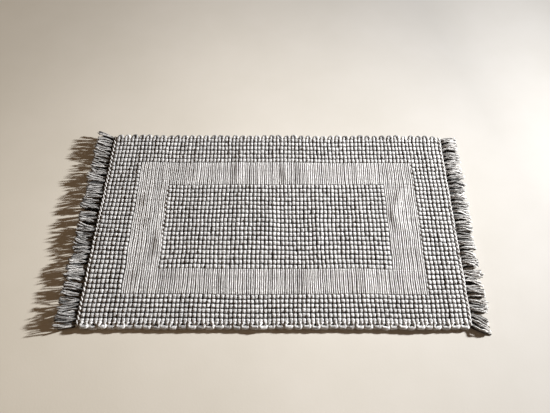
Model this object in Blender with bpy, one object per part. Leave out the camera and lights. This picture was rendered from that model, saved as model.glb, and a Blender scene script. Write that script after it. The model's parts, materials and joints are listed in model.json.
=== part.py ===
"""Hand-woven cotton bath mat with a fringe at each end, as separate solids.

Thick soft weft yarn runs from front to back and lies over a thin warp ground. It stands up in rounded
columns in the centre panel and in the outer border, and lies flat in the band between them. It turns
round in a loop at the front and back edges. A twined cord closes each end, and the warp ends hang out
of it as tufts, which swing about the cord.

Frame: X along the mat's length, Y from the front (-Y) to the back (+Y), Z up. The origin is the middle
of the underside, on the surface that the mat lies on. All sizes are in metres.
"""

import math

import bmesh
import bpy

# Overall sizes of the woven body, without end cords and fringes
BODY_LENGTH = 0.800
BODY_DEPTH = 0.500

# Widths of the border and of the flat band inside it
BORDER_AT_ENDS = 0.0727
BORDER_AT_SIDES = 0.0795
BAND_AT_ENDS = 0.0727
BAND_AT_FRONT = 0.0568
BAND_AT_BACK = 0.0625

# Thicknesses
GROUND_THICKNESS = 0.0040
RAISED_THICKNESS = 0.0082  # of the raised weft, from its underside to the crest of a column
RAISED_RELIEF = 0.0040  # from the valley between two raised columns to their crests
FLAT_THICKNESS = 0.0042
FLAT_RELIEF = 0.0015

# The weave
COLUMN_PITCH = 0.0091  # one raised weft column
RIBS_PER_COLUMN = 2  # the flat band shows each column as two thin ribs
ROUND_STEPS = 4  # straight faces over one raised column or loop
FLAT_STEPS = 2  # and over one thin rib

# Selvage loops along the front and back edges
LOOP_REACH = 0.0055
LOOP_ROUNDING = 0.0025
LOOP_BOTTOM = 0.0006
LOOP_TOP = 0.0094
COLUMNS_PER_LOOP = 2

# End cords and the fringe that swings about them
CORD_DIAMETER = 0.0068
CORD_HEIGHT = 0.0060  # of the cord's centre line, which is the fringe's axis
CORD_CLEARANCE = 0.0011  # between the cord and the woven body
TUFTS_PER_END = 22
TUFT_LENGTH = 0.0415
TUFT_LENGTH_CHANGE = 0.0025  # the tufts differ by up to this much
TUFT_ROOT_THICKNESS = 0.0028
TUFT_THICKNESS = 0.0042
TUFT_TIP_THICKNESS = 0.0026
TUFT_FLOOR_CLEARANCE = 0.0005
TUFT_SIDE_CLEARANCE = 0.0012  # between neighbouring tufts at their widest
TUFT_SPLAY = 0.0090  # how far the corner tufts' tips lean past the edge

FIT_GAP = 0.0003  # between pieces that touch

# Linear colours of the yarns, with their roughness
GROUND_COLOUR = (0.205, 0.196, 0.188)
RAISED_COLOUR = (0.345, 0.332, 0.321)
FLAT_COLOUR = (0.440, 0.424, 0.410)
CORD_COLOUR = (0.520, 0.503, 0.485)
FRINGE_COLOUR = (0.380, 0.361, 0.340)
YARN_ROUGHNESS = 0.95

# Places worked out from the sizes above
HALF_LENGTH = BODY_LENGTH / 2
HALF_DEPTH = BODY_DEPTH / 2
HALF_WOVEN_DEPTH = HALF_DEPTH - LOOP_REACH - FIT_GAP
WEFT_BOTTOM = GROUND_THICKNESS + FIT_GAP
BAND_OUTER_X = HALF_LENGTH - BORDER_AT_ENDS
CENTRE_HALF_LENGTH = BAND_OUTER_X - BAND_AT_ENDS
BAND_OUTER_Y = HALF_DEPTH - BORDER_AT_SIDES
CENTRE_FRONT = BAND_AT_FRONT - BAND_OUTER_Y
CENTRE_BACK = BAND_OUTER_Y - BAND_AT_BACK
HINGE_X = HALF_LENGTH + CORD_CLEARANCE + CORD_DIAMETER / 2


def clear_scene():
    """Removes every object that the file opened with."""
    for obj in list(bpy.data.objects):
        bpy.data.objects.remove(obj, do_unlink=True)


def yarn_material(name, colour):
    """A matt cotton yarn of one colour."""
    material = bpy.data.materials.new(name + "_cotton")
    material.use_nodes = True
    shader = material.node_tree.nodes["Principled BSDF"]
    shader.inputs["Base Color"].default_value = (*colour, 1.0)
    shader.inputs["Roughness"].default_value = YARN_ROUGHNESS
    shader.inputs["Metallic"].default_value = 0.0
    return material


def add_object(collection, name, data, colour, parent=None):
    """Puts data in the scene as one named sub-part with its own material."""
    obj = bpy.data.objects.new(name, data)
    collection.objects.link(obj)
    data.materials.append(yarn_material(name, colour))
    obj.parent = parent
    return obj


def flat_curve(name, points, height):
    """A closed outline filled on both sides and extruded to this height, half each way."""
    curve = bpy.data.curves.new(name, "CURVE")
    curve.dimensions = "2D"
    curve.fill_mode = "BOTH"
    curve.extrude = height / 2
    spline = curve.splines.new("POLY")
    spline.points.add(len(points) - 1)
    for point, (x, y) in zip(spline.points, points):
        point.co = (x, y, 0.0, 1.0)
    spline.use_cyclic_u = True
    return curve


def waves(start, end, pitch, relief, steps):
    """Points (along, rise) of rounded ribs side by side, as many as fit nearest to this pitch."""
    count = max(1, round((end - start) / pitch))
    found = []
    for step in range(count * steps + 1):
        along = start + (end - start) * step / (count * steps)
        found.append((along, relief * abs(math.sin(math.pi * step / steps))))
    return found


def ribbed_slab(collection, name, x_range, y_range, thickness, ribs, colour):
    """A layer of weft, flat underneath, with ribs (pitch, relief, steps) along Y on its top."""
    pitch, relief, steps = ribs
    valley = WEFT_BOTTOM + thickness - relief
    crest = waves(x_range[1], x_range[0], -pitch, relief, steps)
    outline = [(x_range[0], WEFT_BOTTOM), (x_range[1], WEFT_BOTTOM)]
    outline += [(x, valley + rise) for x, rise in crest]
    section = flat_curve(name, outline, y_range[1] - y_range[0])
    slab = add_object(collection, name, section, colour)
    slab.rotation_euler = (math.pi / 2, 0.0, 0.0)
    slab.location = (0.0, (y_range[0] + y_range[1]) / 2, 0.0)
    return slab


def raised_field(collection, name, x_range, y_range):
    """Weft that stands up in one round column per pitch."""
    ribs = (COLUMN_PITCH, RAISED_RELIEF, ROUND_STEPS)
    return ribbed_slab(collection, name, x_range, y_range, RAISED_THICKNESS, ribs, RAISED_COLOUR)


def flat_field(collection, name, x_range, y_range):
    """Weft that lies low, in thin ribs."""
    ribs = (COLUMN_PITCH / RIBS_PER_COLUMN, FLAT_RELIEF, FLAT_STEPS)
    return ribbed_slab(collection, name, x_range, y_range, FLAT_THICKNESS, ribs, FLAT_COLOUR)


def frame_of_fields(collection, make, prefix, outer, inner):
    """Four fields round an opening: the front and back ones run the full length, and the ends fit between.

    outer and inner are (low x, high x, low y, high y). Each field keeps the fit gap to the one inside it.
    """
    near, far = inner[2] - FIT_GAP, inner[3] + FIT_GAP
    make(collection, prefix + "_front", (outer[0], outer[1]), (outer[2], near))
    make(collection, prefix + "_back", (outer[0], outer[1]), (far, outer[3]))
    between = (near + FIT_GAP, far - FIT_GAP)
    make(collection, prefix + "_left", (outer[0], inner[0] - FIT_GAP), between)
    make(collection, prefix + "_right", (inner[1] + FIT_GAP, outer[1]), between)


def add_ground(collection):
    """The thin cloth of warp threads and their binding that everything else lies on."""
    mesh = bpy.data.meshes.new("warp_ground")
    shape = bmesh.new()
    bmesh.ops.create_cube(shape, size=1.0)
    size = (BODY_LENGTH, 2 * HALF_WOVEN_DEPTH, GROUND_THICKNESS)
    bmesh.ops.scale(shape, vec=size, verts=shape.verts)
    shape.to_mesh(mesh)
    shape.free()
    ground = add_object(collection, "warp_ground", mesh, GROUND_COLOUR)
    ground.location = (0.0, 0.0, GROUND_THICKNESS / 2)
    return ground


def add_fields(collection):
    """The raised centre panel, the flat band round it and the raised border round that."""
    body = (-HALF_LENGTH, HALF_LENGTH, -HALF_WOVEN_DEPTH, HALF_WOVEN_DEPTH)
    band = (-BAND_OUTER_X, BAND_OUTER_X, -BAND_OUTER_Y, BAND_OUTER_Y)
    centre = (-CENTRE_HALF_LENGTH, CENTRE_HALF_LENGTH, CENTRE_FRONT, CENTRE_BACK)
    frame_of_fields(collection, raised_field, "border_weft", body, band)
    frame_of_fields(collection, flat_field, "band_weft", band, centre)
    raised_field(collection, "centre_weft", centre[:2], centre[2:])


def add_selvage(collection, name, side):
    """The row of loops in which the weft turns round at one long edge. side is -1 in front, 1 behind."""
    inner = side * (HALF_WOVEN_DEPTH + FIT_GAP)
    base = LOOP_REACH - LOOP_ROUNDING
    pitch = COLUMN_PITCH * COLUMNS_PER_LOOP
    outline = [(-HALF_LENGTH, inner), (HALF_LENGTH, inner)]
    for x, rise in waves(HALF_LENGTH, -HALF_LENGTH, -pitch, LOOP_ROUNDING, ROUND_STEPS):
        outline.append((x, inner + side * (base + rise)))
    plan = flat_curve(name, outline, LOOP_TOP - LOOP_BOTTOM)
    strip = add_object(collection, name, plan, RAISED_COLOUR)
    strip.location = (0.0, 0.0, (LOOP_TOP + LOOP_BOTTOM) / 2)
    return strip


def add_end_cord(collection, name, side):
    """The twined cord across one end. side is -1 on the left, 1 on the right."""
    curve = bpy.data.curves.new(name, "CURVE")
    curve.dimensions = "3D"
    curve.bevel_depth = CORD_DIAMETER / 2
    curve.bevel_resolution = 2
    curve.use_fill_caps = True
    spline = curve.splines.new("POLY")
    spline.points.add(1)
    for point, y in zip(spline.points, (-HALF_WOVEN_DEPTH, HALF_WOVEN_DEPTH)):
        point.co = (0.0, y, 0.0, 1.0)
    cord = add_object(collection, name, curve, CORD_COLOUR)
    cord.location = (side * HINGE_X, 0.0, CORD_HEIGHT)
    return cord


def tuft_sections(length, half_width):
    """Sections from a tuft's root to its tip, as (out, height, half width, half thickness).

    They are measured from the hinge axis. The tuft leaves the cord level, sinks to the floor and thins out.
    """
    root = CORD_DIAMETER / 2 + FIT_GAP
    floor = TUFT_FLOOR_CLEARANCE - CORD_HEIGHT
    lying = floor + TUFT_THICKNESS / 2
    return (
        (root, 0.0, 0.55 * half_width, TUFT_ROOT_THICKNESS / 2),
        (root + 0.10 * length, 0.15 * lying, 0.70 * half_width, TUFT_ROOT_THICKNESS / 2),
        (root + 0.38 * length, lying, half_width, TUFT_THICKNESS / 2),
        (root + 0.75 * length, lying, half_width, TUFT_THICKNESS / 2),
        (root + length, floor + TUFT_TIP_THICKNESS / 2, 0.72 * half_width, TUFT_TIP_THICKNESS / 2),
    )


def tuft_mesh(name, side, middle, length, half_width, lean):
    """A loft through the tuft's sections, each a flat hexagon. lean moves the tip along Y."""
    shape = bmesh.new()
    rings = []
    for out, height, half, thick in tuft_sections(length, half_width):
        across = middle + lean * (out / (CORD_DIAMETER / 2 + FIT_GAP + length)) ** 2
        corners = ((-half, 0.0), (-0.6 * half, -thick), (0.6 * half, -thick))
        corners += ((half, 0.0), (0.6 * half, thick), (-0.6 * half, thick))
        rings.append([shape.verts.new((side * out, across + y, height + z)) for y, z in corners])
    for inner, outer in zip(rings, rings[1:]):
        for at in range(len(inner)):
            after = (at + 1) % len(inner)
            shape.faces.new((inner[at], inner[after], outer[after], outer[at]))
    shape.faces.new(rings[0])
    shape.faces.new(rings[-1])
    bmesh.ops.recalc_face_normals(shape, faces=shape.faces)
    mesh = bpy.data.meshes.new(name)
    shape.to_mesh(mesh)
    shape.free()
    return mesh


def add_fringe(collection, end, side):
    """One end's tufts, from front to back, on an empty that stands on their common axis."""
    hinge = bpy.data.objects.new("fringe_" + end + "_axis", None)
    hinge.location = (side * HINGE_X, 0.0, CORD_HEIGHT)
    collection.objects.link(hinge)
    pitch = 2 * HALF_WOVEN_DEPTH / TUFTS_PER_END
    half_width = (pitch - TUFT_SIDE_CLEARANCE) / 2
    for number in range(TUFTS_PER_END):
        middle = (number + 0.5) * pitch - HALF_WOVEN_DEPTH
        name = f"fringe_tuft_{end}_{number + 1:02d}"
        length = TUFT_LENGTH - TUFT_LENGTH_CHANGE * (1 - math.cos(2.4 * number)) / 2
        lean = TUFT_SPLAY * (middle / HALF_WOVEN_DEPTH) ** 7
        mesh = tuft_mesh(name, side, middle, length, half_width, lean)
        add_object(collection, name, mesh, FRINGE_COLOUR, parent=hinge)


def main():
    clear_scene()
    mat = bpy.data.collections.new("bath_mat")
    bpy.context.scene.collection.children.link(mat)
    add_ground(mat)
    add_fields(mat)
    add_selvage(mat, "selvage_loops_front", -1)
    add_selvage(mat, "selvage_loops_back", 1)
    for end, side in (("left", -1), ("right", 1)):
        add_end_cord(mat, "end_cord_" + end, side)
        add_fringe(mat, end, side)


main()
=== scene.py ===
"""Looks of a hand-woven cotton bath mat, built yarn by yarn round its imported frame.

Thick soft weft yarns run from front to back. In the border and the centre panel they swell into pebbles
between the rows in which thin warp threads tie them down. In the band between them they lie flat, as two
thin ribs to a column. They turn round in loops at the long edges. A twined cord closes each end, and the
warp ends hang out of it as a fringe. Lengths are in metres unless a name says mm.
"""

import json
import logging
import math
from dataclasses import dataclass
from enum import Enum

import bpy
import numpy as np
from mathutils import Matrix, Vector


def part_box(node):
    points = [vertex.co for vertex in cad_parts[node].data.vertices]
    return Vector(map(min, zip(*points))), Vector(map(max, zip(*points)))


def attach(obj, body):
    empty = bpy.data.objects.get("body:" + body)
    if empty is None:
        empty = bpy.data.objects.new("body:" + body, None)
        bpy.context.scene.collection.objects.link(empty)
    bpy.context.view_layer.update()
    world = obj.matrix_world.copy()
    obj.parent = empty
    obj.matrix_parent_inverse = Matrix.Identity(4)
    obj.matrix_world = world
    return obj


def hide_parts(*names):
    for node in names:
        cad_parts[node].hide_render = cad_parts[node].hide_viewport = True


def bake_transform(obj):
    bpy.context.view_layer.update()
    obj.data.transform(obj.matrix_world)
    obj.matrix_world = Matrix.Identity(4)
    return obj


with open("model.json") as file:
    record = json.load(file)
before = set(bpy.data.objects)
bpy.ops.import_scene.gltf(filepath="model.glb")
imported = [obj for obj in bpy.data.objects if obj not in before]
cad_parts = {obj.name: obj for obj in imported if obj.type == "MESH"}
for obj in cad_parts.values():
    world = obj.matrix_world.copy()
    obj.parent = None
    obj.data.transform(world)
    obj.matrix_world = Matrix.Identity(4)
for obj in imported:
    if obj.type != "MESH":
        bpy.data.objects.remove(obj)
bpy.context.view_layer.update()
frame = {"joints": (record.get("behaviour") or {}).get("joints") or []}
LOG = logging.getLogger("bath_mat")
MM = 0.001
BAKE_MAP = "OFBake"  # a map without overlaps, for whoever bakes the piece
YARN_MAP = "yarn"  # millimetres round a yarn and along it
TONE_AND_PAINTED_SHADE = "tone"  # how light a place on a yarn is, as a share of the yarn's colour: its own tone times painted shade
TUFTS = 22  # at each end
Tree, Node, Socket, Piece = bpy.types.NodeTree, bpy.types.Node, bpy.types.NodeSocket, bpy.types.Object
Pair, Triple = tuple[float, float], tuple[float, float, float]


def linear(colour: str) -> tuple[float, float, float, float]:
    """Turns an sRGB hex colour into linear numbers.

    Args:
        colour: six hex digits, red first.

    Returns:
        Red, green, blue and an alpha of 1.
    """
    parts = [int(colour[at:at + 2], 16) / 255 for at in (0, 2, 4)]
    parts = [c / 12.92 if c <= 0.04045 else ((c + 0.055) / 1.055) ** 2.4 for c in parts]
    return (*parts, 1.0)


def node(tree: Tree, kind: str, settings: dict | None = None, **sockets) -> Node:
    """Adds a node with its settings, socket values and links.

    Args:
        tree: the material's node tree.
        kind: the node's type, without ShaderNode.
        settings: properties of the node itself.
        sockets: for each input, by name with _ for a space or in0, in1 and so on by number, its value, or
            the output or the node that feeds it, by its first output.

    Returns:
        The new node.
    """
    made = tree.nodes.new("ShaderNode" + kind)
    for name, value in (settings or {}).items():
        setattr(made, name, value)
    for name, value in sockets.items():
        by_number = name.startswith("in") and name[2:].isdigit()
        socket = made.inputs[int(name[2:]) if by_number else name.replace("_", " ")]
        if isinstance(value, (Node, Socket)):
            tree.links.new(value.outputs[0] if isinstance(value, Node) else value, socket)
        else:
            socket.default_value = value
    return made


def smoothstep(values: np.ndarray) -> np.ndarray:
    """Eases 0 to 1, and holds values outside that."""
    held = np.clip(values, 0.0, 1.0)
    return held * held * (3 - 2 * held)


def slow_waves(x: np.ndarray, y: np.ndarray, seed: int, shortest: float, longest: float) -> np.ndarray:
    """Smooth chance waves over the mat.

    Args:
        x: places along the mat.
        y: places across it.
        seed: picks the waves.
        shortest: the shortest wavelength.
        longest: the longest one.

    Returns:
        A value for each place, mostly within -1 to 1.
    """
    rng = np.random.default_rng(seed)
    total = np.zeros(np.broadcast(x, y).shape)
    count = 7
    for _ in range(count):
        turn, phase = rng.uniform(0, 2 * math.pi, 2)
        number = 2 * math.pi / rng.uniform(shortest, longest)
        total += np.sin(number * (x * math.cos(turn) + y * math.sin(turn)) + phase)
    return total / math.sqrt(count)


@dataclass(frozen=True)
class Rumple:
    """One soft fold where the cloth was laid unevenly."""

    x: float
    y: float
    heading: float  # of the fold's line, in degrees from the mat's length
    length: float
    width: float
    height_mm: float

    def rise(self, x: np.ndarray, y: np.ndarray) -> np.ndarray:
        """How far the fold lifts the cloth.

        Args:
            x: places along the mat.
            y: places across it.

        Returns:
            The lift at each place.
        """
        turn = math.radians(self.heading)
        along = (x - self.x) * math.cos(turn) + (y - self.y) * math.sin(turn)
        across = (y - self.y) * math.cos(turn) - (x - self.x) * math.sin(turn)
        return self.height_mm * MM * np.exp(-(along / self.length) ** 2 - (across / self.width) ** 2)


@dataclass(frozen=True)
class Lie:
    """How the soft cloth lies, shared by all pieces so that they stay together.

    It has slow waves and a few folds, draws in a little along its length, and runs askew at the left end.
    """

    sway: float = 0.8 * MM
    lift: float = 1.0 * MM
    shortest: float = 0.07
    longest: float = 0.30
    draw_in: float = 0.0125
    skew: float = 0.031  # reached skew_over from the middle
    skew_over: float = 0.4
    slip: float = -3.0 * MM
    back_slip: float = 6.5 * MM  # from the line back_from on, over back_over
    back_from: float = 0.14
    back_over: float = 0.11
    front_slip: float = 3.0 * MM  # most at the line front_at, and front_over to each side
    front_at: float = -0.165
    front_over: float = 0.04
    still_x: float = 0.41  # the folds die out in still_over before these lines
    still_y: float = 0.255
    still_over: float = 0.03
    rumples: tuple[Rumple, ...] = (
        Rumple(0.283, 0.058, 75, 0.030, 0.010, 2.6),
        Rumple(0.270, 0.020, 100, 0.030, 0.009, 2.2),
        Rumple(0.290, -0.010, 110, 0.024, 0.012, 1.9),
        Rumple(0.300, 0.090, 70, 0.022, 0.012, 1.6),
        Rumple(-0.285, 0.006, 70, 0.020, 0.012, 2.2),
        Rumple(-0.262, -0.050, 95, 0.024, 0.010, 2.6),
        Rumple(-0.300, 0.060, 80, 0.024, 0.014, 1.8),
        Rumple(-0.290, -0.120, 60, 0.024, 0.013, 1.8),
        Rumple(-0.090, 0.145, 84, 0.034, 0.011, 2.1),
        Rumple(0.022, 0.142, 98, 0.034, 0.010, 2.1),
        Rumple(-0.190, 0.150, 80, 0.028, 0.014, 1.4),
        Rumple(-0.110, -0.145, 92, 0.024, 0.013, 1.6),
        Rumple(0.190, -0.142, 86, 0.026, 0.015, 1.6),
        Rumple(-0.020, 0.010, 88, 0.060, 0.018, 1.9),
        Rumple(0.095, -0.020, 92, 0.080, 0.016, 1.6),
    )

    def waves(self, x: np.ndarray, y: np.ndarray, seed: int) -> np.ndarray:
        """Chance waves of this cloth's lengths."""
        return slow_waves(x, y, seed, self.shortest, self.longest)

    def settle(self, points: np.ndarray) -> np.ndarray:
        """Moves points the way the cloth lies.

        Args:
            points: places in the frame, in rows of three.

        Returns:
            The moved places. None of them goes down.
        """
        x, y = points[..., 0], points[..., 1]
        moved = points.copy()
        left = np.clip(-x / self.skew_over, 0, 1.1) ** 1.5
        moved[..., 0] += self.sway * self.waves(x, y, 3)
        moved[..., 0] += self.skew * left * y - self.draw_in * x
        moved[..., 1] += self.sway * self.waves(x, y, 4)
        moved[..., 1] += self.slip + self.back_slip * smoothstep((y - self.back_from) / self.back_over)
        moved[..., 1] -= self.front_slip * np.exp(-((y - self.front_at) / self.front_over) ** 2)
        rise = self.lift * np.clip(0.5 + 0.5 * self.waves(x, y, 5), 0, 1)
        inside = smoothstep((self.still_y - np.abs(y)) / self.still_over)
        inside = inside * smoothstep((self.still_x - np.abs(x)) / self.still_over)
        for rumple in self.rumples:
            rise = rise + rumple.rise(x, y)
        moved[..., 2] += rise * inside
        return moved


LIE = Lie()


class YarnMesh:
    """Collects yarns lofted through rings of points, and makes them one mesh."""

    def __init__(self) -> None:
        """Starts with no yarns."""
        self.points, self.tones, self.corners, self.sizes, self.yarn, self.strips = ([] for _ in range(6))
        self.yarns = self.count = 0

    def add(self, rings: np.ndarray, tone: np.ndarray, width_mm: float) -> "YarnMesh":
        """Adds yarns that all have the same number of rings.

        Args:
            rings: places as (yarn, ring, point, 3). Each ring turns so that the yarn's outside faces out.
            tone: how light it is as (yarn, ring), or with an axis for the points.
            width_mm: the length round a yarn, for the pattern on it.

        Returns:
            This collection.
        """
        yarns, sections, around, _ = rings.shape
        index = self.count + np.arange(yarns * sections * around).reshape(yarns, sections, around)
        after = np.roll(index, -1, axis=2)
        quads = np.stack([index[:, :-1], after[:, :-1], after[:, 1:], index[:, 1:]], -1)
        step = np.linalg.norm(np.diff(rings.mean(2), axis=1), axis=-1)
        along = np.concatenate([np.zeros((yarns, 1)), np.cumsum(step, axis=1)], 1) / MM
        share = np.broadcast_to(np.arange(sections) / (sections - 1), along.shape)
        turn = np.arange(around + 1) / around
        which = np.arange(yarns)[:, None, None] + self.yarns
        faces = quads[..., 0]

        def on_map(across: np.ndarray, length: np.ndarray) -> np.ndarray:
            """Puts each face's corners on a map.

            Args:
                across: places round the yarns.
                length: places along them.

            Returns:
                The four corners of every face, in rows of two.
            """
            low, high = across[..., :-1], across[..., 1:]
            near, far = length[:, :-1, None], length[:, 1:, None]
            pairs = ((low, near), (high, near), (high, far), (low, far))
            found = [np.stack(np.broadcast_arrays(*pair, faces)[:2], -1) for pair in pairs]
            return np.stack(found, -2).reshape(-1, 2)

        self.points.append(rings.reshape(-1, 3))
        tone = tone if tone.ndim == 3 else tone[..., None]
        self.tones.append(np.broadcast_to(tone, rings.shape[:3]).reshape(-1))
        self.corners.append(quads.reshape(-1))
        self.sizes.append(np.full(faces.size, 4))
        self.yarn.append(on_map(turn * width_mm, along))
        self.strips.append(on_map(which + turn, share))
        for ring, reach in ((index[:, 0, ::-1], along[:, 0]), (index[:, -1], along[:, -1])):
            self.corners.append(ring.reshape(-1))
            self.sizes.append(np.full(yarns, around))
            self.yarn.append(np.repeat(np.stack([0 * reach, reach], -1), around, 0))
            spot = np.stack([np.arange(yarns) + self.yarns + 0.5, 0 * reach + (reach > 0)], -1)
            self.strips.append(np.repeat(spot, around, 0))
        self.yarns += yarns
        self.count += yarns * sections * around
        return self

    def build(self, name: str) -> Piece:
        """Makes the collected yarns one object, which takes on the cloth's lie.

        Args:
            name: the object's name.

        Returns:
            The new object, at the origin and shaded smooth.
        """
        points = LIE.settle(np.concatenate(self.points))
        corners, sizes = np.concatenate(self.corners), np.concatenate(self.sizes)
        mesh = bpy.data.meshes.new(name)
        mesh.vertices.add(len(points))
        mesh.vertices.foreach_set("co", points.astype(np.float32).ravel())
        mesh.loops.add(len(corners))
        mesh.loops.foreach_set("vertex_index", corners.astype(np.int32))
        mesh.polygons.add(len(sizes))
        starts = np.concatenate([[0], np.cumsum(sizes)[:-1]])
        mesh.polygons.foreach_set("loop_start", starts.astype(np.int32))
        mesh.update(calc_edges=True)
        strips = np.concatenate(self.strips) / (self.yarns, 1)
        for layer, found in ((BAKE_MAP, strips), (YARN_MAP, np.concatenate(self.yarn))):
            mesh.uv_layers.new(name=layer).uv.foreach_set("vector", found.astype(np.float32).ravel())
        tone = mesh.attributes.new(TONE_AND_PAINTED_SHADE, "FLOAT", "POINT")
        tone.data.foreach_set("value", np.concatenate(self.tones).astype(np.float32))
        mesh.shade_smooth()
        made = bpy.data.objects.new(name, mesh)
        bpy.context.scene.collection.objects.link(made)
        return made


def tube_rings(paths: np.ndarray, radii: np.ndarray, sides: int) -> np.ndarray:
    """Round sections along paths.

    Args:
        paths: centre lines as (yarn, section, 3).
        radii: the radius as (yarn, section).
        sides: the points in each ring, the first one underneath.

    Returns:
        Rings as (yarn, section, point, 3).
    """
    along = np.gradient(paths, axis=1)
    along /= np.linalg.norm(along, axis=-1, keepdims=True)
    across = np.cross(along, (0.0, 0.0, 1.0))
    across /= np.linalg.norm(across, axis=-1, keepdims=True) + 1e-9
    upward = np.cross(along, across)
    turn = math.pi / 2 + 2 * math.pi * np.arange(sides) / sides
    outward = across[:, :, None] * np.cos(turn)[:, None] + upward[:, :, None] * np.sin(turn)[:, None]
    return paths[:, :, None] + outward * radii[:, :, None, None]


class Shade(Enum):
    """The yarns' colours as sRGB hex: the dark, the usual and the light fibres that were spun together."""

    RAISED = ("989492", "d6d2cf", "faf7f5")
    FLAT = ("979390", "bfbbb8", "dedad7")
    # painted shade: the warp shows only in the pits, so its greys are dark
    WARP = ("413e3c", "5e5b59", "7d7a77")
    CORD = ("aeaaa7", "cbc7c4", "e3dfdc")
    FRINGE = ("7d7976", "ada9a5", "d4cfcb")


@dataclass(frozen=True)
class SpunCotton:
    """Carded cotton, spun and plied: matt, downy, with fibres of several greys drawn into one yarn.

    The plies show as slanting ridges, and the heather as short streaks along the yarn.
    """

    name: str
    shade: Shade
    ply_mm: float = 2.6  # from one ply's ridge to the next, along the yarn
    streak_mm: float = 1.6  # the width of a streak of one grey
    drawn: float = 0.3  # the width of a streak as a share of its length
    ridge_mm: float = 0.42
    down_mm: float = 0.16
    slant: float = -52.0  # of the plies, in degrees
    closer: float = 0.79  # across the slant the ridges are this much closer
    speckles: float = 620.0  # to the metre, so one in 1.6 mm
    fibre_ends: float = 1400.0  # to the metre: one in 0.7 mm, coarser than real ones so that they show
    speckle_share: float = 0.45
    heather: Triple = (0.38, 0.5, 0.62)  # where the dark, usual and light greys are pure
    roughness: float = 0.92
    sheen: float = 0.12

    def material(self) -> bpy.types.Material:
        """Makes the material, which reads the yarn map and the tone of each piece.

        Returns:
            The new material.
        """
        made = bpy.data.materials.new(self.name)
        made.use_nodes = True
        tree = made.node_tree
        tree.nodes.clear()
        place = node(tree, "UVMap", {"uv_map": YARN_MAP})
        solid = node(tree, "TexCoord").outputs["Object"]
        shader = node(
            tree, "BsdfPrincipled", Base_Color=self.colour(tree, place, solid), Roughness=self.roughness,
            Sheen_Weight=self.sheen, Sheen_Roughness=0.5, IOR=1.5, Specular_IOR_Level=0.25,
            Normal=self.relief(tree, place, solid),
        )
        node(tree, "OutputMaterial", Surface=shader)
        return made

    def colour(self, tree: Tree, place: Node, solid: Socket) -> Node:
        """Streaks of grey fibre broken up by a finer speckle, as light or dark as the tone attribute, which
        holds the yarn's own tone and its painted shade.

        Args:
            tree: the material's node tree.
            place: the yarn map.
            solid: object coordinates.

        Returns:
            The colour.
        """
        scale = 1 / self.streak_mm
        drawn = node(tree, "Mapping", in0=place, Scale=(scale, scale * self.drawn, 1.0))
        streaks = node(tree, "TexNoise", in0=drawn, Scale=1.0, Detail=3.0, Roughness=0.65)
        speckle = node(tree, "TexNoise", in0=solid, Scale=self.speckles, Detail=2.0, Roughness=0.6)
        mixed = node(tree, "Mix", {"data_type": "FLOAT"}, in0=self.speckle_share, in2=streaks, in3=speckle)
        ramp = node(tree, "ValToRGB", in0=mixed)
        dark, usual, light = map(linear, self.shade.value)
        stops = ramp.color_ramp.elements
        stops[0].position, stops[0].color = self.heather[0], dark
        stops[1].position, stops[1].color = self.heather[2], light
        stops.new(self.heather[1]).color = usual
        tone = node(tree, "Attribute", {"attribute_name": TONE_AND_PAINTED_SHADE}).outputs["Fac"]
        return node(tree, "VectorMath", {"operation": "SCALE"}, in0=ramp, Scale=tone)

    def relief(self, tree: Tree, place: Node, solid: Socket) -> Node:
        """Slanting ply ridges under a fine down of loose fibres.

        Args:
            tree: the material's node tree.
            place: the yarn map.
            solid: object coordinates.

        Returns:
            The normal.
        """
        turned = node(tree, "Mapping", in0=place, Rotation=(0.0, 0.0, math.radians(self.slant)))
        # A wave texture repeats every tenth of pi divided by its scale.
        ridges = node(
            tree, "TexWave", in0=turned, Scale=math.pi / 10 / (self.ply_mm * self.closer), Distortion=1.2,
            Detail=1.0, Detail_Scale=0.8,
        ).outputs[1]
        down = node(tree, "TexNoise", in0=solid, Scale=self.fibre_ends, Detail=3.0, Roughness=0.7)
        first = node(tree, "Bump", Height=ridges, Distance=self.ridge_mm * MM, Strength=0.8)
        return node(tree, "Bump", Height=down, Distance=self.down_mm * MM, Strength=0.9, Normal=first)


def reach_of(solid: str, axis: str, low: bool = False) -> float:
    """Where a solid of the frame ends along an axis: at its high end, or at its low one."""
    return getattr(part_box(solid)[0 if low else 1], axis)


@dataclass
class MatSizes:
    """The sizes that the pieces share, read from the frame, and the weave's own counts."""

    columns: int = 88
    border_columns: int = 8
    band_columns: int = 8
    border_rows: int = 6
    side_rows: int = 30
    centre_rows: int = 19
    selvage: float = 11.5 * MM  # from the last row to the edge of the loops
    half_length: float = reach_of("warp_ground", "x")
    half_depth: float = reach_of("selvage_loops_back", "y")
    weft_bottom: float = reach_of("centre_weft", "z", low=True)
    raised_top: float = reach_of("centre_weft", "z")
    flat_top: float = reach_of("band_weft_front", "z")
    band_y: float = reach_of("band_weft_back", "y")
    centre_front: float = reach_of("centre_weft", "y", low=True)
    centre_back: float = reach_of("centre_weft", "y")
    hinge: Triple = tuple([j for j in frame["joints"] if j["child"] == "fringe_right"][0]["pos_m"])

    @property
    def pitch(self) -> float:
        """The width of one column."""
        return 2 * self.half_length / self.columns

    def habit(self, number: np.ndarray) -> np.ndarray:
        """What a yarn does all along its length, in every field: its height, width and tone.

        Args:
            number: the yarn's number.

        Returns:
            Three normal values for each yarn, in the last axis.
        """
        return np.random.default_rng(7).normal(0, 1, (1000, 3))[number]

    @property
    def woven_y(self) -> float:
        """How far the outermost rows are from the middle."""
        return self.half_depth - self.selvage

    def column_x(self, column: np.ndarray | float) -> np.ndarray | float:
        """The left side of a column, counted from the left end."""
        return column * self.pitch - self.half_length


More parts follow.
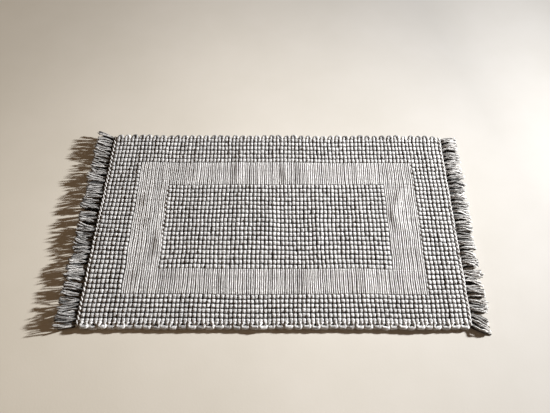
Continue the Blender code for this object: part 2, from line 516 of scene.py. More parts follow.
@dataclass
class RaisedWeft:
    """A field of weft that swells into a pebble between every two rows of warp."""

    sizes: MatSizes
    piece: str
    columns: tuple[int, int]
    y_range: Pair
    rows: int
    seed: int
    pinch_height: float = 1.9 * MM  # above the weft's underside
    pinch_width: float = 0.36  # half widths, as shares of the pitch
    crest_width: float = 0.54
    painted_valley_shade: float = 0.07  # how light the sheltered sides are beside the rubbed crests
    headroom: float = 0.6 * MM  # painted shade: how light the sides and ends of a pebble are, as a share of its crest
    blunt: float = 0.37  # the lower, the fuller a pebble's ends
    flank: float = 4.8  # the higher, the steeper its sides
    # What chance adds to a pebble: to its place across and along, its crest, its pinch, its width and tone.
    stray: float = 0.40 * MM
    slide: float = 0.42 * MM
    crest_chance: float = 0.32 * MM
    pinch_chance: float = 0.25 * MM
    width_chance: float = 0.045
    tone_chance: float = 0.055
    fuzz: float = 0.10 * MM
    habits: Triple = (0.22 * MM, 0.02, 0.06)  # a yarn's own, in height, width and tone
    leg_spread: float = 0.9 * MM
    phases: tuple[float, ...] = (0.0, 0.035, 0.11, 0.27, 0.5, 0.73, 0.89, 0.965)  # sections, in rows
    around: int = 11

    def lobes(self) -> tuple[np.ndarray, np.ndarray]:
        """The swelling of a yarn along its length.

        Returns:
            How far each section is swollen, from 0 to 1, and where it is, in rows.
        """
        phase = np.tile(self.phases, self.rows)
        row = np.repeat(np.arange(self.rows), len(self.phases))
        place = np.append(row + phase, self.rows)
        return np.abs(np.sin(math.pi * place)) ** self.blunt, place

    def build(self) -> Piece:
        """Makes the field's columns one piece.

        Returns:
            The piece.
        """
        rng = np.random.default_rng(self.seed)
        count = self.columns[1] - self.columns[0]

        def pebble(spread: float) -> np.ndarray:
            """One chance value for each pebble, over its sections."""
            spread_out = np.repeat(rng.normal(0, spread, (count, self.rows)), len(self.phases), axis=1)
            return np.concatenate([spread_out, spread_out[:, -1:]], 1)

        pitch, bottom = self.sizes.pitch, self.sizes.weft_bottom
        lobe, place = self.lobes()
        y = self.y_range[0] + (self.y_range[1] - self.y_range[0]) * place / self.rows
        number = np.arange(*self.columns)[:, None]
        habit = self.sizes.habit(number)
        middle = self.sizes.column_x(number + 0.5)
        # Near the edge the legs of a loop spread: an even column goes left, and an odd one right.
        leg = np.where(number % 2 == 0, -1, 1) * self.leg_spread
        leg = leg * np.exp((np.abs(y) - self.sizes.woven_y) / (5 * MM))
        middle = middle + pebble(self.stray) * lobe + leg
        top = self.sizes.raised_top - bottom - self.headroom
        crest = top + pebble(self.crest_chance) + self.habits[0] * habit[..., 0]
        pinch = self.pinch_height + pebble(self.pinch_chance)
        height = pinch + (crest - pinch) * lobe
        half = self.pinch_width + (self.crest_width - self.pinch_width) * lobe ** 0.8
        half = pitch * half * (1 + pebble(self.width_chance) + self.habits[1] * habit[..., 1])
        y = y + pebble(self.slide) * lobe
        across = np.cos(np.linspace(math.pi, 0, self.around))
        across = np.sign(across) * np.abs(across) ** 0.7
        x = middle[..., None] + half[..., None] * across
        z = bottom + height[..., None] * (1 - np.abs(across) ** self.flank) ** 0.5
        rings = np.stack(np.broadcast_arrays(x, y[..., None], z), -1)
        rings = rings + rng.normal(0, self.fuzz, rings.shape) * (1, 0.6, 1)
        tone = 1 + pebble(self.tone_chance) + self.habits[2] * habit[..., 2]
        # Painted shade: the crest keeps its full colour, and down the sides and towards the ends of a pebble
        # the colour darkens for the shade in the valleys and pits.
        painted_light_share = smoothstep(1.12 * (1 - np.abs(across) ** 3) - 0.06) * smoothstep(lobe * 1.6 - 0.50)[:, None]
        tone = tone[..., None] * (self.painted_valley_shade + (1 - self.painted_valley_shade) * painted_light_share)
        return YarnMesh().add(rings, tone, 2.6 * pitch / MM).build(self.piece)


@dataclass
class FlatWeft:
    """A field of weft that lies low: each column shows as two thin ribs."""

    sizes: MatSizes
    piece: str
    columns: tuple[int, int]
    y_range: Pair
    seed: int
    meets_raised: tuple[bool, bool]  # in front, and behind
    step: float = 2.4 * MM
    around: int = 9
    painted_valley_shade: float = 0.28  # painted shade: how light the groove between two columns is
    painted_seam_shade: float = 0.75  # painted shade: how light the seam between the two ribs of a column is
    pairing: float = 0.25 * MM
    loft: float = 1.9 * MM  # how far the soft ribs rise above their solid
    dip_over: float = 3 * MM  # from an end that meets raised weft, where a rib starts low
    half_width: float = 0.66  # as a share of the ribs' pitch
    wander: float = 0.55 * MM
    height_chance: float = 0.13 * MM
    tone_chance: float = 0.05
    fuzz: float = 0.06 * MM
    habits: Triple = (0.12 * MM, 0.03, 0.10)  # a rib's own, in height, width and tone
    # painted shade: how dark the patches for the shade of small creases get
    painted_crease_shade: float = 0.30

    def build(self) -> Piece:
        """Makes the field's ribs one piece.

        Returns:
            The piece.
        """
        rng = np.random.default_rng(self.seed)
        number = np.arange(2 * self.columns[0], 2 * self.columns[1])[:, None]
        habit = self.sizes.habit(number + 500)
        pitch, bottom = self.sizes.pitch / 2, self.sizes.weft_bottom
        sections = round((self.y_range[1] - self.y_range[0]) / self.step) + 1
        y = np.linspace(*self.y_range, sections)
        front = (y - y[0]) / self.dip_over if self.meets_raised[0] else 1 + 0 * y
        back = (y[-1] - y) / self.dip_over if self.meets_raised[1] else 1 + 0 * y
        full = smoothstep(0.35 + 0.65 * np.minimum(front, back))
        drift = slow_waves(number * 0.4, y, 30, 0.02, 0.12)
        outer = np.where(number % 2 == 0, -1, 1)  # the side where the next column is
        middle = self.sizes.column_x((number + 0.5) / 2) + self.wander * drift - self.pairing * outer
        shape = (len(number), sections)
        top = self.sizes.flat_top - bottom - 0.1 * MM
        height = top + self.habits[0] * habit[..., 0] + rng.normal(0, self.height_chance, shape)
        height = height * (0.72 + 0.28 * full)
        if not any(self.meets_raised):
            height = height * (1 - 0.10 * np.exp(-np.minimum(y - y[0], y[-1] - y) / (0.8 * MM)))
        half = pitch * (self.half_width + self.habits[1] * habit[..., 1])
        across = np.cos(np.linspace(math.pi, 0, self.around))
        x = middle[..., None] + half[..., None] * across
        profile = (1 - np.abs(across) ** 2.2) ** 0.5
        z = bottom + height[..., None] * profile + self.loft * smoothstep(profile * 2.5)
        rings = np.stack(np.broadcast_arrays(x, y[:, None], z), -1)
        rings = rings + rng.normal(0, self.fuzz, rings.shape) * (1, 0, 1)
        tone = 1 + self.habits[2] * habit[..., 2] + rng.normal(0, self.tone_chance, shape)
        for share, seed, shortest, longest in ((0.06, 33, 0.010, 0.035), (0.03, 34, 0.05, 0.2)):
            tone = tone + share * slow_waves(middle, y, seed, shortest, longest)
        # Painted shade: dark patches for the shade of small creases in the band.
        tone = tone - self.painted_crease_shade * smoothstep(slow_waves(middle, y, 35, 0.006, 0.022) - 1.1)
        # Painted shade: darker in the groove between two columns, less so in the seam between the ribs of a
        # column, and darker again on each rib's side towards the next column.
        painted_light_share = smoothstep(1.25 * (1 - np.abs(across) ** 3))
        outward = (outer * across)[:, None]
        painted_valley_shade = np.where(outward > 0, self.painted_valley_shade, self.painted_seam_shade)
        shown = (painted_valley_shade + (1 - painted_valley_shade) * painted_light_share) * (1 - 0.22 * smoothstep(outward))
        return YarnMesh().add(rings, tone[..., None] * shown, 2.4 * pitch / MM).build(self.piece)


@dataclass
class WarpThreads:
    """The thin threads that tie the raised weft down, one row after another."""

    sizes: MatSizes
    piece: str = "warp_threads"
    radius: float = 0.5 * MM
    sides: int = 4
    steps: int = 4  # sections to a column
    height: float = 2.6 * MM  # over a weft yarn, above the weft's underside
    dip: float = 0.9 * MM  # between two of them
    stray: float = 0.12 * MM
    # painted shade: the threads lie in the pits, so they are darkened
    tone: float = 0.55

    def line(self, mesh: YarnMesh, y: float, columns: tuple[int, int], rng: np.random.Generator) -> None:
        """Adds one thread, over each weft yarn and down between two.

        Args:
            mesh: takes the thread.
            y: the thread's place across the mat.
            columns: the columns that it binds, from and to.
            rng: gives its chance values.
        """
        place = np.linspace(columns[0], columns[1], (columns[1] - columns[0]) * self.steps + 1)
        x = self.sizes.column_x(place)
        over = self.sizes.weft_bottom + self.height
        z = over - self.dip + self.dip * np.abs(np.sin(math.pi * place))
        path = np.stack([x, y + rng.normal(0, self.stray, x.shape), z], -1)[None]
        radii = np.full(path.shape[:2], self.radius)
        tone = np.full(path.shape[:2], self.tone + rng.normal(0, 0.05))
        mesh.add(tube_rings(path, radii, self.sides), tone, 3.2)

    def build(self) -> Piece:
        """Makes all rows one piece.

        Returns:
            The piece.
        """
        sizes, rng, mesh = self.sizes, np.random.default_rng(41), YarnMesh()
        columns, border = sizes.columns, sizes.border_columns
        for side in (-1, 1):
            for y in np.linspace(sizes.woven_y, sizes.band_y, sizes.border_rows + 1):
                self.line(mesh, side * y, (0, columns), rng)
        for y in np.linspace(-sizes.band_y, sizes.band_y, sizes.side_rows + 1)[1:-1]:
            self.line(mesh, y, (0, border), rng)
            self.line(mesh, y, (columns - border, columns), rng)
        inner = border + sizes.band_columns
        for y in np.linspace(sizes.centre_front, sizes.centre_back, sizes.centre_rows + 1):
            self.line(mesh, y, (inner, columns - inner), rng)
        return mesh.build(self.piece)


@dataclass(frozen=True)
class Bow:
    """How the loops of one long edge turn round."""

    out: int  # -1 in front and 1 behind
    height: float  # of the bow's middle line
    squareness: float  # the lower, the squarer
    leg: float  # radius
    bend: float  # radius
    spread: float  # from the middle of a loop to its widest place
    # how light the loops are, lowered as painted shade behind
    tone: float
    painted_bow_shade: float  # painted shade: how much darker the bow is than the legs
    overlap: float  # how far one side of a loop may lie over its neighbour
    beyond: float  # how far the bow reaches past the solid
    waist: float  # how much thinner the legs are where they part


class Edge(Enum):
    """The long edges. In front the loops spread until they touch, and behind they stand up, narrow."""

    FRONT = Bow(
        out=-1, height=4.8 * MM, squareness=0.38, leg=4.5 * MM, bend=4.2 * MM, spread=7.8 * MM,
        tone=0.92, painted_bow_shade=0.0, overlap=0.9 * MM, beyond=1.2 * MM, waist=1.3 * MM,
    )
    BACK = Bow(
        out=1, height=7.0 * MM, squareness=0.8, leg=4.9 * MM, bend=4.2 * MM, spread=4.9 * MM,
        tone=0.76, painted_bow_shade=0.36, overlap=0.4 * MM, beyond=-0.5 * MM, waist=0.0,
    )


@dataclass
class SelvageLoops:
    """One long edge, where each pair of columns is joined by a loop of the weft."""

    sizes: MatSizes
    edge: Edge
    inside: float = 2.0 * MM  # the legs start this far inside the last row
    leg_spread: float = 4.5 * MM
    leg_height: float = 3.9 * MM
    clear: float = 0.3 * MM  # over the floor
    sections: int = 19
    sides: int = 10

    def build(self) -> Piece:
        """Makes the row of loops one piece.

        Returns:
            The piece.
        """
        bow, sizes = self.edge.value, self.sizes
        rng = np.random.default_rng(50 + bow.out)
        count = sizes.columns // 2

        def loop(spread: float) -> np.ndarray:
            """One chance value for each loop."""
            return rng.normal(0, spread, (count, 1))

        middle = sizes.column_x(2 * np.arange(count) + 1.0)[:, None]
        turn = np.linspace(0, math.pi, self.sections)
        out = np.sin(turn) ** 0.8
        start = sizes.woven_y - self.inside
        reach = sizes.half_depth - bow.bend - start - 0.2 * MM
        spread = self.leg_spread + (bow.spread - self.leg_spread) * smoothstep(out * 1.8 - 0.2)
        cosine = np.cos(turn)
        x = middle - spread * np.sign(cosine) * np.abs(cosine) ** bow.squareness
        x = x + loop(0.8 * MM) * out + loop(0.6 * MM) * cosine * out
        wobble = loop(0.8 * MM) * np.sin(2 * turn) + loop(0.5 * MM)
        y = bow.out * (start + reach * out + (wobble + bow.beyond) * out)
        high = sizes.weft_bottom + self.leg_height
        overlap = loop(bow.overlap)
        bow_height = bow.height + np.abs(loop(1.1 * MM))
        z = high + (bow_height - high) * smoothstep(out * 1.05) + overlap * cosine * out
        radii = bow.leg + (bow.bend - bow.leg) * smoothstep(out * 1.5) + rng.normal(0, 0.12 * MM, x.shape)
        radii = radii - bow.waist * np.exp(-((out - 0.5) / 0.22) ** 2)
        path = np.stack([x, y, np.maximum(z, radii + self.clear)], -1)
        # Painted shade: behind, the loops are darker and their bows darker still; the random parts are the
        # yarn's own tone.
        tone = bow.tone + loop(0.10) + rng.normal(0, 0.14, x.shape) - bow.painted_bow_shade * out ** 3
        rings = tube_rings(path, radii, self.sides)
        return YarnMesh().add(rings, tone, 18.0).build("loops_" + self.edge.name.lower())


@dataclass(frozen=True)
class Hang:
    """How the fringe of one end lies."""

    out: int  # -1 at the left end and 1 at the right end
    front_lean: float  # of the outermost bunches
    back_lean: float
    arch: float  # the height of a strand's middle
    tip: float  # and of its tip
    # painted shade and light: low at the left end, in the mat's shadow, a little high at the right end
    tone: float
    painted_root_shade: float  # painted shade beside the end cord, as a share of tone
    beyond_mm: float  # that the tips reach past the solid
    fan: float  # how far the tips of a bunch spread


class End(Enum):
    """The short ends. The left fringe lies with its tips up, and the right one sinks to the floor."""

    LEFT = Hang(
        out=-1, front_lean=-0.18, back_lean=0.45, arch=9 * MM, tip=14 * MM, tone=0.80, painted_root_shade=0.50,
        beyond_mm=4.5, fan=2.6 * MM,
    )
    RIGHT = Hang(
        out=1, front_lean=-0.52, back_lean=0.08, arch=9 * MM, tip=5 * MM, tone=1.05, painted_root_shade=0.8,
        beyond_mm=1.5, fan=1.0 * MM,
    )


@dataclass
class EndCord:
    """Two strands twined across one end: they cross once for each bunch of warp ends."""

    sizes: MatSizes
    end: End
    bunches: int = 2 * TUFTS
    strand: float = 1.95 * MM
    twine: float = 1.7 * MM
    height: float = 7.6 * MM
    sides: int = 8

    def build(self) -> Piece:
        """Makes both strands one piece.

        Returns:
            The piece.
        """
        place, out = self.end.name.lower(), self.end.value.out
        reach = reach_of("end_cord_" + place, "y")
        y = np.linspace(-reach, reach, 10 * self.bunches + 1)
        turn = math.pi * self.bunches * (y + reach) / (2 * reach)
        rng = np.random.default_rng(60 + out)
        paths = []
        for start in (0.0, math.pi):
            x = out * self.sizes.hinge[0] + self.twine * np.cos(turn + start)
            z = self.height + self.twine * np.sin(turn + start)
            paths.append(np.stack([x, y, z], -1))
        paths = np.array(paths)
        radii = self.strand + rng.normal(0, 0.06 * MM, paths.shape[:2])
        tone = 1 + rng.normal(0, 0.03, paths.shape[:2])
        return YarnMesh().add(tube_rings(paths, radii, self.sides), tone, 10.7).build("twined_cord_" + place)


@dataclass
class Chance:
    """Chance values for the strands of a tuft."""

    rng: np.random.Generator
    bunch: np.ndarray  # that each strand is in

    def each(self, spread: float) -> np.ndarray:
        """One value for each bunch, given to all its strands."""
        return self.rng.normal(0, spread, self.bunch[-1] + 1)[self.bunch][:, None]

    def strand(self, spread: float) -> np.ndarray:
        """One value for each strand."""
        return self.rng.normal(0, spread, (len(self.bunch), 1))


@dataclass
class Tuft:
    """Two neighbouring bunches of loose warp ends, which stand for one solid of the frame."""

    sizes: MatSizes
    end: End
    number: int  # from 1 at the front to 22 at the back
    strands: int = 12
    bunches: int = 2
    sections: int = 16
    sides: int = 6
    radius: float = 1.12 * MM
    thicker: float = 0.20  # at the tip, where a strand has come untwisted
    tones: Triple = (0.07, 0.30, 1.15)  # painted shade and light by layer, for the strands on the floor, between and on top: the low ones nearly black for the shade under the top layer
    layer_height: float = 1.2 * MM  # of the top layer above the middle line, and of the next one below it
    floor_height: float = 1.9 * MM
    lowest: float = 1.55 * MM
    highest: float = 20 * MM
    half_width: Pair = (0.9 * MM, 3.4 * MM)  # of a bunch at its root, and what it gains
    floor_width: float = 5.2 * MM
    floor_reach: float = 0.86
    # What chance does to a bunch, and to one strand in it.
    lean: Pair = (0.09, 0.04)
    width: Pair = (0.6 * MM, 0.9 * MM)
    bow: Pair = (2.0 * MM, 1.1 * MM)
    curl: Pair = (1.8 * MM, 1.3 * MM)
    arch: Pair = (0.28, 0.8 * MM)
    tip: Pair = (2.4 * MM, 0.22)

    @property
    def tag(self) -> str:
        """The end and the number, as the names of the solid and the piece have them."""
        return f"{self.end.name.lower()}_{self.number:02d}"

    def layer(self) -> np.ndarray:
        """Which layer each strand lies in, as a column: 0 on the floor, 1 between and 2 on top."""
        return np.tile((np.arange(self.strands) + 2) % 3, self.bunches)[:, None]

    def plan(self, chance: Chance, along: np.ndarray) -> tuple[np.ndarray, np.ndarray]:
        """Lays the strands out as seen from above.

        Args:
            chance: gives the chance values.
            along: places along a strand, from 0 to 1.

        Returns:
            How far out of the end cord each point is, and where it is across the mat.
        """
        hang, layer = self.end.value, self.layer()
        below = layer == 0
        low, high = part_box("fringe_tuft_" + self.tag)
        cord_y = reach_of("end_cord_" + self.end.name.lower(), "y")
        spacing = cord_y / TUFTS
        root = ((2 * (self.number - 1) + 0.5 + chance.bunch) * spacing - cord_y)[:, None]
        place = np.tile(np.linspace(-1, 1, self.strands), self.bunches)[:, None]
        place = place + chance.strand(0.14) + np.where(layer == 1, 0.15, 0.0)
        outer = root / self.sizes.half_depth
        lean = chance.each(self.lean[0]) + chance.strand(self.lean[1])
        lean = lean + np.abs(outer) ** 6 * np.where(outer > 0, hang.back_lean, hang.front_lean)
        reach = high.x - low.x + (hang.beyond_mm + 1.3 * np.random.default_rng(self.number).normal()) * MM
        reach = reach * (1 + chance.strand(0.035)) * (1 - 0.05 * place ** 2)
        reach = reach * np.where(below, self.floor_reach, 1.0)
        gained = (self.half_width[1] + chance.each(self.width[0])) * smoothstep(along * 1.6)
        width = self.half_width[0] + gained + hang.fan * along ** 3 + chance.strand(self.width[1]) * along
        width = np.where(below, self.floor_width, width)
        arc = np.sin(math.pi * along)
        bend = chance.each(self.bow[0]) * arc
        bend = bend + (chance.each(self.curl[0]) + chance.strand(self.curl[1])) * along ** 3
        bend = (bend + chance.strand(self.bow[1]) * arc) * np.where(below, 0.4, 1.0)
        wave = chance.strand(0.45 * MM) * np.sin(2 * math.pi * along * 2.6 + chance.strand(2.0))
        y = root + place * width + bend + wave * smoothstep(along * 3) + np.tan(lean) * along * reach
        return along * reach * np.cos(lean), y

    def heights(self, chance: Chance, along: np.ndarray) -> np.ndarray:
        """Lets the strands down from the end cord, in their layers.

        Args:
            chance: gives the chance values.
            along: places along a strand, from 0 to 1.

        Returns:
            The height of each point.
        """
        hang, layer = self.end.value, self.layer()
        top = hang.arch * np.clip(1 + chance.each(self.arch[0]), 0.4, 1.4) + chance.strand(self.arch[1])
        tip = hang.tip + chance.each(self.tip[0]) + chance.strand(self.tip[1] * hang.tip)
        tip = np.clip(tip, 1.4 * MM, 18 * MM)
        start = self.sizes.hinge[2] + 0.6 * MM + chance.strand(0.6 * MM)
        z = start + (tip - start) * along
        z = z + (top - 0.5 * (tip + start)) * np.sin(math.pi * along ** 0.9) ** 1.2
        stacked = np.where(layer == 1, -self.layer_height, self.layer_height)
        z = z + (chance.strand(0.8 * MM) + stacked) * np.sin(math.pi * along * 0.7)
        under = self.floor_height + (start - self.floor_height) * (1 - smoothstep(along * 6))
        z = np.where(layer == 0, under, z)
        return np.clip(z + chance.strand(0.6 * MM) * np.sin(9 * along), self.lowest, self.highest)

    def build(self) -> Piece:
        """Makes the tuft one piece.

        Returns:
            The piece.
        """
        hang = self.end.value
        rng = np.random.default_rng(1000 * (hang.out + 2) + self.number)
        chance = Chance(rng, np.repeat(np.arange(self.bunches), self.strands))
        along = np.linspace(0, 1, self.sections)[None]
        out, y = self.plan(chance, along)
        z = self.heights(chance, along)
        paths = np.stack([hang.out * (self.sizes.hinge[0] + out), y, z], -1)
        thick = self.radius * (1.0 + self.thicker * along ** 3 + chance.strand(0.08))
        # Painted shade: strands darken towards the end cord, in the lower layers, and all over at the left
        # end in the mat's shadow. The spread between strands is their own tone.
        root = hang.painted_root_shade + (1 - hang.painted_root_shade) * smoothstep(along * 3 - 0.2)
        tone = hang.tone * (np.array(self.tones)[self.layer()] * (1 + chance.strand(0.22))) * root
        return YarnMesh().add(tube_rings(paths, thick, self.sides), tone, 6.3).build("tuft_" + self.tag)


@dataclass
class WarpGround:
    """The woven ground under the thick weft, with the weft's floats showing on its underside."""

    sizes: MatSizes
    piece: str = "ground_cloth"
    node: str = "warp_ground"
    per_column: int = 4
    per_row: int = 3
    thickness: float = 2.4 * MM
    float_relief: float = 0.9 * MM
    pit_tone: float = 0.3  # of the upper face

    def build(self) -> Piece:
        """Makes the ground from a grid, shaped and then given its thickness.

        Returns:
            The piece.
        """
        sizes = self.sizes
        low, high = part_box(self.node)
        rows = 2 * sizes.border_rows + sizes.side_rows
        bpy.ops.object.select_all(action="DESELECT")
        bpy.ops.mesh.primitive_grid_add(
            x_subdivisions=sizes.columns * self.per_column, y_subdivisions=rows * self.per_row, size=1.0,
            calc_uvs=True,
        )
        made = bpy.context.object
        made.name = made.data.name = self.piece
        mesh = made.data
        flat = np.zeros(len(mesh.vertices) * 3)
        mesh.vertices.foreach_get("co", flat)
        flat = flat.reshape(-1, 3)
        x, y = flat[:, 0] * (high.x - low.x), flat[:, 1] * (high.y - low.y)
        column = (x - low.x) / sizes.pitch
        row = (y - low.y) / (high.y - low.y) * rows
        lobe = np.abs(np.sin(math.pi * column)) ** 0.6 * (0.35 + 0.65 * np.abs(np.sin(math.pi * row)) ** 0.6)
        z = 0.3 * MM + self.float_relief * (1 - lobe) + 0 * x
        moved = LIE.settle(np.stack([x, y, z], -1))
        moved[:, 2] = z
        mesh.vertices.foreach_set("co", moved.astype(np.float32).ravel())
        mesh.update()
        yarn = mesh.uv_layers.new(name=YARN_MAP)
        index = np.zeros(len(mesh.loops), np.int32)
        mesh.loops.foreach_get("vertex_index", index)
        yarn.uv.foreach_set("vector", (np.stack([x, y], -1)[index] / MM).astype(np.float32).ravel())
        tone = mesh.attributes.new(TONE_AND_PAINTED_SHADE, "FLOAT", "POINT")
        # Painted shade: darker along the lines between columns and rows, in the grooves.
        tone.data.foreach_set("value", (0.7 + 0.3 * lobe).astype(np.float32))
        solid = made.modifiers.new("thickness", "SOLIDIFY")
        solid.thickness, solid.offset = self.thickness, 1.0
        bpy.ops.object.modifier_apply(modifier=solid.name)
        self.darken_pits(mesh)
        mesh.shade_smooth()
        return made

    def darken_pits(self, mesh: bpy.types.Mesh) -> None:
        """Darkens the upper face, which is seen only in the pits, where no light comes in.

        Args:
            mesh: the ground's mesh, with its thickness.
        """
        places = np.zeros(len(mesh.vertices) * 3)
        mesh.vertices.foreach_get("co", places)
        found = np.zeros(len(mesh.vertices))
        mesh.attributes[TONE_AND_PAINTED_SHADE].data.foreach_get("value", found)
        above = places.reshape(-1, 3)[:, 2] > 0.8 * self.thickness
        share = np.where(above, self.pit_tone, 1.0).astype(np.float32)
        mesh.attributes[TONE_AND_PAINTED_SHADE].data.foreach_set("value", share * found)


class BathMat:
    """The whole mat: its pieces in order, each dressed, and those of the mat riding on its body."""

    bend: Pair = (2 * MM, 17 * MM)  # where a fringe would begin and end its bend, from its hinge

    def __init__(self) -> None:
        """Reads the sizes and prepares the finishes."""
        self.sizes = MatSizes()
        self.finish = {
            # Hardly twisted, so it is thick and downy, with broad soft streaks and plain ply ridges.
            "raised_weft": SpunCotton("soft_spun_cotton_roving_raised", Shade.RAISED).material(),
            # The same roving beaten flat: its plies are pressed out, and its streaks are drawn long and thin.
            "flat_weft": SpunCotton(
                "soft_spun_cotton_roving_flat", Shade.FLAT, ply_mm=2.2, streak_mm=1.1, drawn=0.10,
                ridge_mm=0.06,
            ).material(),
            # Spun hard and thin, and seen only in the pits: its colour is painted dark for the shade there,
            # so it reads as a dark thread.
            "warp_cotton": SpunCotton("plied_cotton_warp", Shade.WARP, ply_mm=1.4, ridge_mm=0.15).material(),
            # Several warp ends plied again: short firm ridges.
            "end_cord": SpunCotton("plied_cotton_cord", Shade.CORD, ply_mm=1.8, ridge_mm=0.3).material(),
            # Loose warp ends, a little untwisted by wear: fine streaks and soft ridges.
            "fringe": SpunCotton(
                "plied_cotton_warp_ends", Shade.FRINGE, ply_mm=1.7, streak_mm=0.9, ridge_mm=0.22
            ).material(),
        }
        self.pieces: list[Piece] = []

    def dress(self, made: Piece, slot: str, body: str, *nodes: str) -> None:
        """Gives a piece its finish, puts a piece of the mat on the mat's body, and hides the solids that it
        stands for.

        Args:
            made: the piece.
            slot: the record's material slot, which names the finish too.
            body: the body that it belongs to; a piece of the mat is put on the mat's body, and any other
                piece is left loose in the world with its transform applied.
            nodes: the frame's solids that it stands for.
        """
        made.data.materials.clear()
        made.data.materials.append(self.finish[slot])
        if body == "mat":
            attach(made, body)
        else:  # a tuft is left loose in the world, with its transform applied
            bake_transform(made)
        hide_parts(*nodes)
        self.pieces.append(made)
        LOG.info("%s: %d faces, on %s", made.name, len(made.data.polygons), body)

    def weave(self) -> None:
        """Builds the weft of every field and the warp that ties it."""
        s = self.sizes
        inner, band, every = s.border_columns + s.band_columns, s.border_columns, s.columns
        centre, flank = (s.centre_front, s.centre_back), (-s.band_y, s.band_y)
        for piece, solid, columns, y_range, rows, seed in (
            ("border_front", "border_weft_front", (0, every), (-s.woven_y, -s.band_y), s.border_rows, 10),
            ("border_back", "border_weft_back", (0, every), (s.band_y, s.woven_y), s.border_rows, 11),
            ("border_left", "border_weft_left", (0, band), flank, s.side_rows, 12),
            ("border_right", "border_weft_right", (every - band, every), flank, s.side_rows, 13),
            ("centre", "centre_weft", (inner, every - inner), centre, s.centre_rows, 20),
        ):
            found = RaisedWeft(s, "pebbles_" + piece, columns, y_range, rows, seed)
            self.dress(found.build(), "raised_weft", "mat", solid)
        tucked = (s.centre_front - 2 * MM, s.centre_back + 2 * MM)  # the ends go into the ribs that they join
        flat = (
            ("front", (band, every - band), (-s.band_y, s.centre_front), (True, False)),
            ("back", (band, every - band), (s.centre_back, s.band_y), (False, True)),
            ("left", (band, inner), tucked, (False, False)),
            ("right", (every - inner, every - band), tucked, (False, False)),
        )
        for seed, (place, columns, y_range, meets) in enumerate(flat, 30):
            found = FlatWeft(s, "ribs_band_" + place, columns, y_range, seed, meets)
            self.dress(found.build(), "flat_weft", "mat", "band_weft_" + place)
        self.dress(WarpThreads(s).build(), "warp_cotton", "mat")

    def finish_edges(self) -> None:
        """Builds the loops of the long edges, and the cords and fringes of the short ones."""
        for edge in Edge:
            loops = SelvageLoops(self.sizes, edge).build()
            self.dress(loops, "raised_weft", "mat", "selvage_loops_" + edge.name.lower())
        for end in End:
            place = end.name.lower()
            self.dress(EndCord(self.sizes, end).build(), "end_cord", "mat", "end_cord_" + place)
            for number in range(1, TUFTS + 1):
                tuft = Tuft(self.sizes, end, number)
                self.dress(tuft.build(), "fringe", "fringe_" + place, "fringe_tuft_" + tuft.tag)

    def lay_ground(self) -> None:
        ground, rest = WarpGround(self.sizes), list(self.pieces)
        cloth = ground.build()
        self.dress(cloth, "warp_cotton", "mat", ground.node)


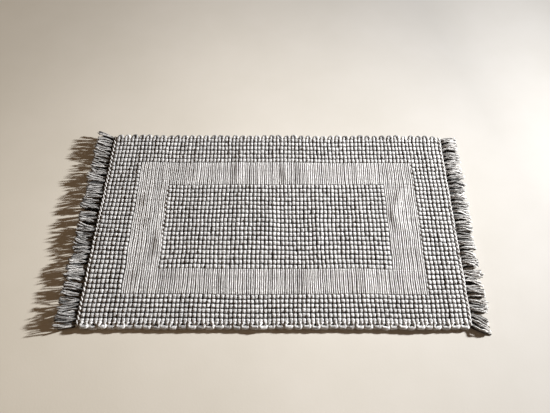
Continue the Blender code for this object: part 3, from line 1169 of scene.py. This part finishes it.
@dataclass(frozen=True)
class RolledPlaster:
    """Plaster rolled with cream matt paint: no gloss, a faint mottle and a fine tooth.

    Its colour has painted light and shade: a pool of light round the middle, and a tint that is warm and
    bright far from the key and cool and dull near it. Far out it fades into the backdrop. Distances are from
    middle, or along the key's direction.
    """

    key_azimuth: float
    backdrop: str
    paint: tuple[str, str] = ("d3cdc2", "d8d2c8")
    middle: Triple = (0.05, -0.2, 0.0)
    painted_light_pool: tuple[float, ...] = (0.6, 1.1, 1.26, 1.10)  # painted pool of light round the middle: from and to a distance, and the levels there
    # painted light and shade along the key's direction: warm and bright far from the key, cool and dull near
    # it
    painted_light_tint: tuple[Triple, Triple, Triple] = ((0.98, 0.94, 0.885), (0.89, 0.87, 0.86), (0.575, 0.575, 0.60))
    painted_tint_reach: float = 0.6
    # painted shade towards the key: from and to a distance along its direction, and the levels there
    painted_shade_near_key: tuple[float, ...] = (0.68, 1.5, 1.0, 0.12)
    fade: Pair = (1.25, 1.9)
    mottles: float = 5.0  # to the metre
    tooth: float = 260.0  # to the metre

    def material(self) -> bpy.types.Material:
        """Makes the material.

        Returns:
            The new material.
        """
        made = bpy.data.materials.new("rolled_matt_plaster")
        made.use_nodes = True
        tree, smooth = made.node_tree, {"interpolation_type": "SMOOTHSTEP"}
        tree.nodes.clear()
        ranges = ("From_Min", "From_Max", "To_Min", "To_Max")
        place = node(tree, "TexCoord").outputs["Object"]
        mottle = node(tree, "TexNoise", in0=place, Scale=self.mottles, Detail=4.0, Roughness=0.6)
        ramp = node(tree, "ValToRGB", in0=mottle)
        for stop, position, colour in zip(ramp.color_ramp.elements, (0.3, 0.7), self.paint):
            stop.position, stop.color = position, linear(colour)
        way = node(tree, "VectorMath", {"operation": "DISTANCE"}, in0=place, in1=self.middle).outputs[1]
        # Painted light: a pool of light round the middle.
        painted_light_pool = node(tree, "MapRange", smooth, Value=way, **dict(zip(ranges, self.painted_light_pool)))
        turn = math.radians(self.key_azimuth)
        toward = (math.cos(turn), math.sin(turn), 0.0)
        side = node(tree, "VectorMath", {"operation": "DOT_PRODUCT"}, in0=place, in1=toward).outputs[1]
        # Painted light and shade: a tint along the key's direction, warm far from it and cool and dark near
        # it.
        reach = self.painted_tint_reach
        share = node(tree, "MapRange", Value=side, From_Min=-reach, From_Max=reach)
        painted_light_tint = node(tree, "ValToRGB", in0=share)
        painted_light_tint.color_ramp.elements.new(0.5)
        for stop, colour in zip(painted_light_tint.color_ramp.elements, self.painted_light_tint):
            stop.color = (*colour, 1.0)
        multiply = {"operation": "MULTIPLY"}
        tinted = node(tree, "VectorMath", multiply, in0=ramp, in1=painted_light_tint)
        # Painted shade: the floor darkens towards the key.
        painted_shade_near_key = node(tree, "MapRange", smooth, Value=side, **dict(zip(ranges, self.painted_shade_near_key)))
        level = node(tree, "Math", multiply, in0=painted_light_pool, in1=painted_shade_near_key)
        colour = node(tree, "VectorMath", {"operation": "SCALE"}, in0=tinted, Scale=level)
        grain = node(tree, "TexNoise", in0=place, Scale=self.tooth, Detail=3.0)
        bump = node(tree, "Bump", Height=grain, Distance=0.3 * MM, Strength=0.25)
        gloss = {"Roughness": 0.9, "Specular_IOR_Level": 0.2}
        shader = node(tree, "BsdfPrincipled", Base_Color=colour, Normal=bump, **gloss)
        far = node(tree, "MapRange", smooth, Value=way, **dict(zip(ranges, self.fade)))
        glow = node(tree, "Emission", Color=linear(self.backdrop))
        surface = node(tree, "MixShader", in0=far, in1=shader, in2=glow)
        node(tree, "OutputMaterial", Surface=surface)
        return made


@dataclass
class Studio:
    """A pale plaster floor, one low key light from the right, warm fill, and the camera."""

    key_azimuth: float = 15.0
    key_height: float = 19.0
    key_distance: float = 2.9
    key_power: float = 64.0
    key_size: float = 0.19
    key_spread: float = 90.0
    key_colour: Triple = (0.94, 0.975, 1.0)
    fill: Triple = (0.124, 0.088, 0.058)
    backdrop: str = "d2cabf"
    floor_size: float = 60.0
    lens_mm: float = 43.85
    stand: Triple = (-0.0091, -0.7927, 1.2915)
    yaw: float = -0.49
    down: float = 56.87
    roll: float = 0.55

    def floor(self) -> None:
        """Lays the floor."""
        bpy.ops.object.select_all(action="DESELECT")
        bpy.ops.mesh.primitive_plane_add(size=self.floor_size, location=(0.0, 0.0, 0.0))
        made = bpy.context.object
        made.name = "studio_floor"
        made.data.materials.append(RolledPlaster(self.key_azimuth, self.backdrop).material())

    def lights(self) -> None:
        """Hangs the key light low at the right and a little behind, and fills from all round."""
        light = bpy.data.lights.new("key", "AREA")
        light.shape, light.size, light.energy = "DISK", self.key_size, self.key_power
        light.color, light.spread = self.key_colour, math.radians(self.key_spread)
        key = bpy.data.objects.new("key", light)
        bpy.context.scene.collection.objects.link(key)
        turn, rise = math.radians(self.key_azimuth), math.radians(self.key_height)
        toward = Vector((math.cos(turn) * math.cos(rise), math.sin(turn) * math.cos(rise), math.sin(rise)))
        key.location = toward * self.key_distance
        key.rotation_euler = toward.to_track_quat("Z", "Y").to_euler()
        world = bpy.data.worlds.new("fill")
        bpy.context.scene.world = world
        world.use_nodes = True
        tree = world.node_tree
        tree.nodes.clear()
        lit = node(tree, "Background", in0=(*self.fill, 1.0))
        seen = node(tree, "Background", in0=linear(self.backdrop))
        direct = node(tree, "LightPath").outputs["Is Camera Ray"]
        shader = node(tree, "MixShader", in0=direct, in1=lit, in2=seen)
        node(tree, "OutputWorld", Surface=shader)

    def camera(self) -> None:
        """Stands the camera in front of the mat, looking down at it."""
        lens = bpy.data.cameras.new("camera")
        lens.lens, lens.sensor_width, lens.clip_start = self.lens_mm, 36.0, 0.01
        made = bpy.data.objects.new("camera", lens)
        bpy.context.scene.collection.objects.link(made)
        yaw, down, roll = (math.radians(angle) for angle in (self.yaw, self.down, self.roll))
        turn = Matrix.Rotation(yaw, 4, "Z") @ Matrix.Rotation(math.pi / 2 - down, 4, "X")
        made.matrix_world = Matrix.Translation(self.stand) @ turn @ Matrix.Rotation(roll, 4, "Z")
        bpy.context.scene.camera = made

    def build(self) -> None:
        """Sets up the studio."""
        bpy.context.scene.view_settings.view_transform = "Standard"
        self.camera()
        self.floor()
        self.lights()


def main() -> None:
    """Builds the studio and then the mat, sub-assembly by sub-assembly."""
    logging.basicConfig(level=logging.INFO, format="%(name)s: %(message)s")
    Studio().build()
    mat = BathMat()
    mat.weave()
    mat.finish_edges()
    mat.lay_ground()


if __name__ == "__main__":
    main()
